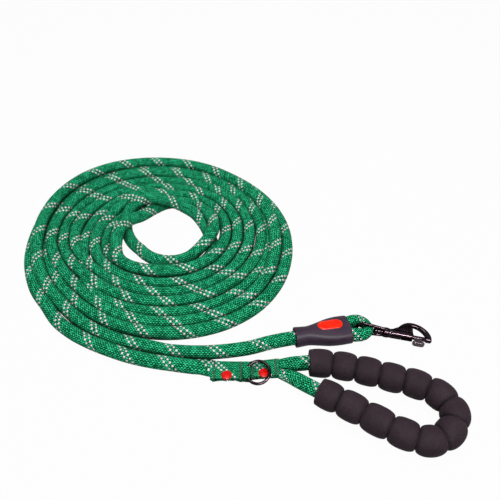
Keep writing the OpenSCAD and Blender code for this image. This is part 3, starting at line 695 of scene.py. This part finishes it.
# The knob's slot, open along the barrel's near side for the bolt's travel
SLOT_HALF, SLOT_OUT = 1.6, -12
slot_corners = [(SLOT_OUT, -SLOT_HALF), (0, -SLOT_HALF), (0, SLOT_HALF), (SLOT_OUT, SLOT_HALF)]
knob_slot = np.array([[(x, y, z) for y, z in slot_corners] for x in (BARREL_TO - TRAVEL - 2, BARREL_TO + 2)])
melted("cast_hook", [section_rings(web_rows), bow_rings, turned(barrel_section), turned(nose_section)] + ribs,
       [bore, seat, knob_slot], black_nickel, "hook", "hook_body")

# Thumb knob: a neck that stands in the bolt, and a rounded pad with finger grooves
KNOB_AT, NECK_HALF_L, NECK_HALF_T = 47.5, 3.3, 1.3
neck_corners = [(-NECK_HALF_L, -NECK_HALF_T), (NECK_HALF_L, -NECK_HALF_T), (NECK_HALF_L, NECK_HALF_T),
                (-NECK_HALF_L, NECK_HALF_T)]
neck = np.array([[(KNOB_AT + x, y, z) for x, z in neck_corners] for y in (-5.2, -1.85)])
# The pad, from the hook outwards: across, half length, half thickness
pad_rows = [(-4.7, 4.7, 2.1), (-4.9, 5.1, 2.5), (-5.5, 5.5, 2.8), (-6.9, 5.5, 2.9), (-7.6, 5.1, 2.7),
            (-7.9, 4.5, 2.3)]
turn = full_turn(48)
pad = np.array([np.column_stack([KNOB_AT + a * squared(np.cos(turn), 0.5), 0 * turn + y,
                                 b * squared(np.sin(turn), 0.6)]) for y, a, b in pad_rows])
GROOVE_R, GROOVE_PITCH, GROOVE_ACROSS = 0.45, 1.75, -8.1
grooves = [np.array([[(KNOB_AT + place * GROOVE_PITCH + GROOVE_R * math.cos(a),
                       GROOVE_ACROSS + GROOVE_R * math.sin(a), z) for a in ROUND[::5]] for z in (-5, 5)])
           for place in range(-2, 3)]
# Satin black nickel: the same dark plating over a rougher casting, so it shines wider and greyer;
# its base colour, much lighter than the plating's, adds a painted sheen
satin_black_nickel_painted_sheen = metal("satin_black_nickel_painted_sheen", "#3E363A", "#655C61", 0.2, 500.0, 0.004)
melted("cast_thumb_knob", [neck, pad], grooves, satin_black_nickel_painted_sheen, "gate", "thumb_knob", voxel=0.16,
       rounds=4)
# The bolt's tail is drilled, so that it slides back over the spring
SPRING_HOLE_R, SPRING_HOLE_TO = 1.76, 49.0
bolt_section = [(SPRING_HOLE_TO, 0.01), (SPRING_HOLE_TO, SPRING_HOLE_R), (BOLT_FROM, SPRING_HOLE_R),
                (BOLT_FROM, BOLT_R - 0.15), (BOLT_FROM + 0.15, BOLT_R), (BOLT_TO - 0.5, BOLT_R),
                (BOLT_TO, BOLT_R - 0.5), (BOLT_TO, 0.01)]
bolt = skinned("turned_bolt", turned(bolt_section), black_nickel, "gate", matrix=in_hook)
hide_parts("gate_bolt")
# Spring steel: bare bright wire, with clear reflections
spring_steel = metal("spring_steel", "#B9B3B8", "#D2CDD1", 0.14, 500.0, 0.004)
dress(spring_steel, "gate_spring")

# ---------------------------------------------------------------------------------------------
# Handle rope
# The same rope, run through the grip. Outside the grip its two ends flatten, come together and lie
# side by side in the strap, where the one that passes under the ring is pressed thinner.
# ---------------------------------------------------------------------------------------------
GRIP_MIDDLE = 12.8
# Place, width and thickness; the grip's own run lies between the two ends
strand_out = [(-107.6, 19.8, 2.8, 8.8, 3.2), (-86, 19.6, 2.8, 8.8, 3.2), (-72, 20, 2.8, 8.6, 3.2),
              (-60, 21.4, 2.8, 8.8, 3.2), (-50, 22.8, 2.8, 9.2, 3.2), (-46, 22.4, 3.6, 10.8, 5),
              (-37, 21, 6, 13.4, 9.2), (-28, 19.2, 9.2, 13.6, 12.6), (-19, 18, 12.2, 13, 13)]
lobe_middles = [(-12, 16.6), (8, 13.4), (28, 8), (48, 1.6), (67.5, -5), (85.3, -16.2), (93.6, -33.8),
                (85.6, -50.6), (68.2, -58.3), (49.2, -52), (29.6, -40.2), (9.8, -27.2), (-7.4, -16.8)]
strand_back = [(-16, -11.4, 12, 13, 13), (-27, -2.4, 9.2, 13.4, 12.8), (-37, 6.6, 5.8, 13.2, 8.6),
               (-46, 11.8, 3.5, 10.4, 4.6), (-50, 13.4, 2.8, 8.4, 3.2), (-60, 12.6, 2.8, 8.2, 3.2),
               (-70, 11.7, 2.6, 8, 2.8), (-74, 11.2, 2.3, 8, 2.2), (-80, 10.8, 2.3, 8.2, 2.2),
               (-85, 10.8, 2.6, 8.2, 2.8), (-107, 11, 2.8, 8.2, 3.2)]
in_grip = [(x, y, GRIP_MIDDLE, ROPE_D, ROPE_D) for x, y in lobe_middles]
handle_line, handle_run = smooth_line(strand_out + in_grip + strand_back, 1.5)
# The thinner it is pressed, the flatter its two faces
pressed = 2 + 1.4 * np.clip((ROPE_D - handle_line[:, 4]) / 9, 0, 1)
HANDLE_LAY_START = 0.37    # slides the braid's pattern, in turns
handle_rings = tube_rings(handle_line, handle_line[:, 3] / 2, handle_line[:, 4] / 2, 28, pressed)
handle = skinned("handle_rope", handle_rings, rope_cover, "leash",
                 lay=handle_run / LAY_LENGTH + HANDLE_LAY_START)
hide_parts("handle_loop")

# ---------------------------------------------------------------------------------------------
# Foam grip
# One tube of moulded foam rubber with thirteen round lobes, a sharp crease between each pair, and
# flat-cut ends that the rope runs into. The skin is matt, with the fine pores of closed-cell foam.
# ---------------------------------------------------------------------------------------------
LOBE_R = 12.6
CREASE_R = 8.6
ROPE_HOLE_R = 6.62
LOBE_STEPS = 26
GRIP_SIDES = 56
grip_knots = np.array([(-32, 17)] + lobe_middles + [(-22.6, -8)])
grip_rows, _ = smooth_line(np.column_stack([grip_knots, np.arange(len(grip_knots))]), 0.5)
lobe_place = np.linspace(0.5, len(lobe_middles) + 0.5, len(lobe_middles) * LOBE_STEPS + 1)
lobe_place[0] += 0.4 / LOBE_STEPS
grip_x, grip_y = (np.interp(lobe_place, grip_rows[:, 2], grip_rows[:, k]) for k in (0, 1))
grip_line = np.column_stack([grip_x, grip_y, 0 * lobe_place + GRIP_MIDDLE])
swell = (1 - np.abs(2 * ((lobe_place - 0.5) % 1) - 1) ** 2.6) ** 0.5
grip_radius = CREASE_R + (LOBE_R - CREASE_R) * swell
# The cut ends: a lobe's side ends in a small round edge, not in a crease
CUT_EDGE_R = 11.6
for cut in (slice(0, LOBE_STEPS // 2), slice(-(LOBE_STEPS // 2), None)):
    from_end = np.abs(lobe_place[cut] - (0.5 if cut.start == 0 else len(lobe_middles) + 0.5))
    edge = CUT_EDGE_R + (LOBE_R - CUT_EDGE_R) * (1 - (1 - np.clip(from_end * 2, 0, 1)) ** 2.0)
    grip_radius[cut] = np.minimum(np.maximum(grip_radius[cut], edge), LOBE_R)
skin_rings = tube_rings(grip_line, grip_radius, grip_radius, GRIP_SIDES)
hole_rings = tube_rings(grip_line[::3], ROPE_HOLE_R, ROPE_HOLE_R, GRIP_SIDES)


def end_face(at, beside, section):
    """Rings across a cut end. section is (radius, offset along the grip)."""
    inward = grip_line[beside] - grip_line[at]
    inward /= np.linalg.norm(inward)
    across = np.cross(UPWARDS, inward if at == 0 else -inward)
    turn = full_turn(GRIP_SIDES, DOWN)
    round_end = np.outer(np.cos(turn), across) + np.outer(np.sin(turn), UPWARDS)
    return np.array([grip_line[at] + inward * offset + radius * round_end for radius, offset in section])


round_edge = [(grip_radius[0], 0.0), (grip_radius[0] - 0.5, -0.35), (grip_radius[0] - 1.2, -0.5), (9.2, -0.5),
              (7.8, -0.4), (7.0, 0.1)]
grip_rings = np.concatenate([skin_rings, end_face(-1, -2, round_edge), hole_rings[::-1],
                             end_face(0, 1, round_edge)[::-1], skin_rings[:1]])

# Closed-cell foam: a matt, warm charcoal with fine pores, each painted darker inside as shade
moulded_foam, tree = finish_named("moulded_foam")
place, _, shade = clouded(tree, 55.0, 4.0, "#2D2329", "#3A2E35")
pores = add(tree, "TexNoise", sockets={"Vector": place, "Scale": 1500.0, "Detail": 3.0, "Roughness": 0.6})
shade = add(tree, "Mix", add(tree, "MapRange", pores, 0.35, 0.55), out=2, data_type="RGBA",
            sockets={6: linear("#20171B"), 7: shade})
# Painted shade: ambient occlusion darkens the colour to near black in the creases between the lobes
# and where the foam lies near the table
occlusion_for_painted_shade = add(tree, "AmbientOcclusion", out=1, sockets={"Distance": 9 * MM}, samples=6)
shade = add(tree, "Mix", add(tree, "MapRange", occlusion_for_painted_shade, 0.4, 0.9, 0.0, 1.0), out=2, data_type="RGBA",
            sockets={6: linear("#0C070A"), 7: shade})
relief = add(tree, "Bump", sockets={"Strength": 0.8, "Distance": 0.12 * MM, "Height": pores})
surface = add(tree, "BsdfPrincipled", sockets={
    "Base Color": shade, "Roughness": 0.7, "Specular IOR Level": 0.035, "Sheen Weight": 0.02,
    "Sheen Roughness": 0.5, "Normal": relief})
add(tree, "OutputMaterial", surface, out=slice(0))
grip = skinned("foam_handle_grip", grip_rings, moulded_foam, "leash", closed_ends=False)
closed_up(grip.data)
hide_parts("foam_grip")

# ---------------------------------------------------------------------------------------------
# Strap
# A flat braid band folded round the two strands and sewn across at its folds: an underlay below,
# and on top a layer that rises over the ring's wire. Two rivets with red caps go through it.
# ---------------------------------------------------------------------------------------------
STRAP_FROM, STRAP_TO = -109.2, -48.0
# Near and far edges, as places along and across
near_edge = [(-109.2, 7.4), (-106.5, 5.3), (-103.5, 6), (-100, 6.4), (-86, 6.4), (-82, 4.9), (-80, 5.6),
             (-78.5, 5.2), (-75.2, 4.9), (-74.2, 5.6), (-73.2, 7), (-71, 7.5), (-63, 8.4), (-51, 9.3),
             (-48, 9.4)]
far_edge = [(-109.2, 25.6), (-104, 25.2), (-100, 24.6), (-85, 24.2), (-74, 24.4), (-60, 26), (-50.6, 27.3),
            (-48, 27.5)]
BAND_BOTTOM, BAND_T = 4.4, 1.2
RING_AT = np.array([-77.0, 10.7, 6.7])
RING_SLOPE = math.tan(math.radians(18))
HUMP_OVER = 2.5            # from the ring's middle up to the band over it
HUMP_HALF, HUMP_FLANK = 5.2, 2.6        # along the strap: the hump's half length and its flank
HUMP_REACH, HUMP_END = 4.8, 1.2         # across it: where the hump ends past the ring, and how fast
NEAR_FOLD, FOLD_BEND = 6.4, 0.42        # nearer than this the edge bends down, and how sharply
SEAM_HALF, SEAM_DEPTH = 0.8, 0.7
FLAT_SHARE, BAND_CROWN = 0.94, 0.25     # share of the width under no edge rounding, rise of the middle
seam_places = [-105.7, -82.4, -71.8, -51.2]
# Greens: painted shade between the picks, the braid's own green, painted highlight on the crowns
band_cover = braided("flat_braid", 0.45, "#001E10", "#067447", "#3CCB92")
BAND_CHART = 34.0          # length and width that one turn of the braid's chart spans on the band
CHART_START = 18           # slides the braid's pattern along the band


def hump(x, y):
    """How far the band rises over the ring's wire."""
    top = RING_AT[2] + (y - RING_AT[1]) * RING_SLOPE + HUMP_OVER - BAND_BOTTOM
    side = np.clip((HUMP_HALF - np.abs(x - RING_AT[0])) / HUMP_FLANK, 0, 1)
    ends = np.clip((RING_AT[1] + HUMP_REACH - y) / HUMP_END, 0, 1)
    return np.maximum(top, 0) * side * side * (3 - 2 * side) * ends


def strap_edges(x):
    """Where the near and far edges lie."""
    return [np.interp(x, *zip(*edge)) for edge in (near_edge, far_edge)]


def band_sheet(name, bottom, thick, node, on_top):
    """A flat braid layer: a grid that follows the strap, with round long edges."""
    xs = np.arange(STRAP_FROM, STRAP_TO + 0.01, 0.5)
    xx, vv = np.meshgrid(xs, np.linspace(-1, 1, 45), indexing="ij")
    near, far = strap_edges(xx)
    yy = near + (vv + 1) / 2 * (far - near)
    rounding = 1 - np.clip((np.abs(vv) - FLAT_SHARE) / (1 - FLAT_SHARE), 0, 1) ** 2
    half = thick / 2 * np.sqrt(np.clip(rounding, 0, 1))
    middle = bottom + thick / 2 + 0 * xx
    above, below = middle + half, middle - half
    if on_top:
        rise = hump(xx, yy) - FOLD_BEND * np.clip(NEAR_FOLD - yy, 0, None) ** 2
        seams = sum(np.exp(-((xx - place) / SEAM_HALF) ** 2) for place in seam_places)
        above += rise + BAND_CROWN * (1 - vv ** 2) - SEAM_DEPTH * seams
        below += rise
    points = np.concatenate([np.stack([xx, yy, side], 2).reshape(-1, 3) for side in (above, below)])
    rows, columns = xx.shape
    under = rows * columns
    faces = []
    for i in range(rows - 1):
        for j in range(columns - 1):
            a = i * columns + j
            faces.append((a, a + columns, a + columns + 1, a + 1))
            faces.append((under + a, under + a + 1, under + a + columns + 1, under + a + columns))
    for j in range(columns - 1):
        last = (rows - 1) * columns + j
        faces.append((j, j + 1, under + j + 1, under + j))
        faces.append((last + 1, last, under + last, under + last + 1))
    layer = new_piece(name, points, faces, band_cover, "leash")
    chart = layer.data.uv_layers.new(name="lay")
    corners = np.zeros(len(layer.data.loops), int)
    layer.data.loops.foreach_get("vertex_index", corners)
    places = (points[corners, :2] + (CHART_START, 0)) * (1, -1) / BAND_CHART
    chart.data.foreach_set("uv", places.reshape(-1))
    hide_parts(node)


band_sheet("strap_underlay", 0.5, 0.7, "keeper_underlay", on_top=False)
band_sheet("strap_band", BAND_BOTTOM, BAND_T, "keeper_band", on_top=True)

# Stitches: a row of short threads along each seam, whose ends dip into the band
STITCHES, THREAD_SIDES = 8, 8
THREAD_HALF_W, THREAD_HALF_T = 0.75, 0.4
# Along the seam, height over the band
stitch_way = [(-0.9, -0.6), (-0.5, -0.2), (0.5, -0.2), (0.9, -0.6)]
thread_points, thread_faces = [], []
for place in seam_places:
    near, far = strap_edges(place)
    for stitch in range(STITCHES):
        y = near + (far - near) * (stitch + 0.5) / STITCHES
        line = np.array([(place, y + off, BAND_BOTTOM + BAND_T + height) for off, height in stitch_way])
        rings = tube_rings(line, THREAD_HALF_W, THREAD_HALF_T, THREAD_SIDES)
        counts = len(stitch_way), THREAD_SIDES, len(thread_points)
        thread_faces += ring_faces(*counts) + end_faces(*counts)
        thread_points += rings.reshape(-1, 3).tolist()
# Bonded thread: dark green, with fine slanted lines of painted shade along its twist
bonded_thread, tree = finish_named("bonded_thread")
place = add(tree, "TexCoord", out=3)
twist = add(tree, "TexWave", sockets={"Vector": place, "Scale": 900.0, "Distortion": 1.0},
            bands_direction="DIAGONAL")
shade = add(tree, "Mix", twist, out=2, data_type="RGBA", sockets={6: linear("#021B10"), 7: linear("#06381F")})
relief = add(tree, "Bump", sockets={"Strength": 1.0, "Distance": 0.08 * MM, "Height": twist})
surface = add(tree, "BsdfPrincipled", sockets={"Base Color": shade, "Roughness": 0.6, "Normal": relief})
add(tree, "OutputMaterial", surface, out=slice(0))
threads = new_piece("seam_threads", thread_points, thread_faces, bonded_thread, "leash")
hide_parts("stitch_rows")

# ---------------------------------------------------------------------------------------------
# Rivets
# Two steel posts through the strap, with a plain washer set over each below and a domed cap pressed
# on above. The caps are enamelled a glossy red, and they are bare.
# ---------------------------------------------------------------------------------------------
rivet_places = [(-94.5, 9.1), (-61.8, 11.4)]
RIVET_SIDES = 56
# Half sections: radius, height; the cap's runs from its middle out, the washer's from below
cap_section = [(0.001, 1.15), (1.2, 1.13), (2.3, 1.03), (2.9, 0.92), (3.2, 0.98), (3.7, 1.0), (4.15, 0.88),
               (4.5, 0.6), (4.7, 0.2), (4.65, -0.1), (4.3, -0.2)]
back_section = [(0.001, 0.0), (2.6, 0.0), (2.9, 0.15), (2.9, 0.4), (2.6, 0.5), (0.001, 0.5)]


def at_each_rivet(section, base, upside=False):
    """Points and faces of a round part at each rivet. upside is for a section that starts on top."""
    points, faces = [], []
    for x, y in rivet_places:
        first = len(points)
        skin = ring_faces(len(section), RIVET_SIDES, first)
        if upside:
            skin = [face[:1] + face[:0:-1] for face in skin]
            skin.append(end_faces(len(section), RIVET_SIDES, first)[1])
        faces += skin
        points += [(x + r * math.cos(angle), y + r * math.sin(angle), base + height)
                   for r, height in section for angle in full_turn(RIVET_SIDES)]
    return points, faces


# Enamel: a deeper red than the badge's, and glossier
red_enamel = glossy_red("red_enamel", 400.0, "#BE0402", "#CE0A06", 0.15, (0.14, 0.26), 0.5, 0.04)
cap_parts = at_each_rivet(cap_section, BAND_BOTTOM + BAND_T, upside=True)
caps = new_piece("red_rivet_caps", *cap_parts, red_enamel, "leash")
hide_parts("rivet_caps")
# Zinc-plated steel: a flat mid grey
zinc_steel = metal("zinc_plated_steel", "#807E82", "#95939A", 0.32, 900.0, 0.01)
dress(zinc_steel, "rivet_posts")
backs = new_piece("pressed_rivet_backs", *at_each_rivet(back_section, 0), zinc_steel, "leash")
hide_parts("rivet_backs")

# ---------------------------------------------------------------------------------------------
# Ring
# A closed ring of round steel wire, butt welded and plated like the hook. It turns in the strap's
# fold, and its free side leans on the band.
# ---------------------------------------------------------------------------------------------
dress(black_nickel, "ring")

# ---------------------------------------------------------------------------------------------
# Lamps
# A plain studio: a soft box overhead and a long strip in front, each a flat white panel that lights
# evenly. The room itself gives a weak even light, and to a mirror it looks white.
# ---------------------------------------------------------------------------------------------
ROOM_LIGHT = 0.1
world = bpy.data.worlds.new("studio")
bpy.context.scene.world = world
world.use_nodes = True
tree = world.node_tree
tree.nodes.clear()
strength = add(tree, "MapRange", seen_directly(tree), 0.0, 1.0, ROOM_LIGHT, 1.0)
add(tree, "OutputWorld", add(tree, "Background", linear("#FFFFFF"), strength), out=slice(0))


def softbox(name, place, aim, length, depth, watts):
    """A lamp box that faces a point, with its length level."""
    lamp = bpy.data.lights.new(name, "AREA")
    lamp.shape = "RECTANGLE"
    lamp.size, lamp.size_y = length, depth
    lamp.energy = watts
    box = bpy.data.objects.new(name, lamp)
    box.location = place
    box.rotation_euler = (Vector(aim) - Vector(place)).to_track_quat("-Z", "Y").to_euler()
    bpy.context.scene.collection.objects.link(box)
    return box


softbox("top_box", (-0.1, 0.3, 1.4), (-0.1, 0.1, 0), 0.45, 0.3, 13)
softbox("strip_box", (0.15, -0.6, 1.1), (0, 0, 0), 1.1, 0.08, 13)
# A narrow strip that only glints in the plated metal, as a studio strip does in polished nickel
glint = softbox("glint_box", (0.15, -0.62, 1.05), (0, 0, 0), 1.1, 0.06, 52)
glint.visible_diffuse = False
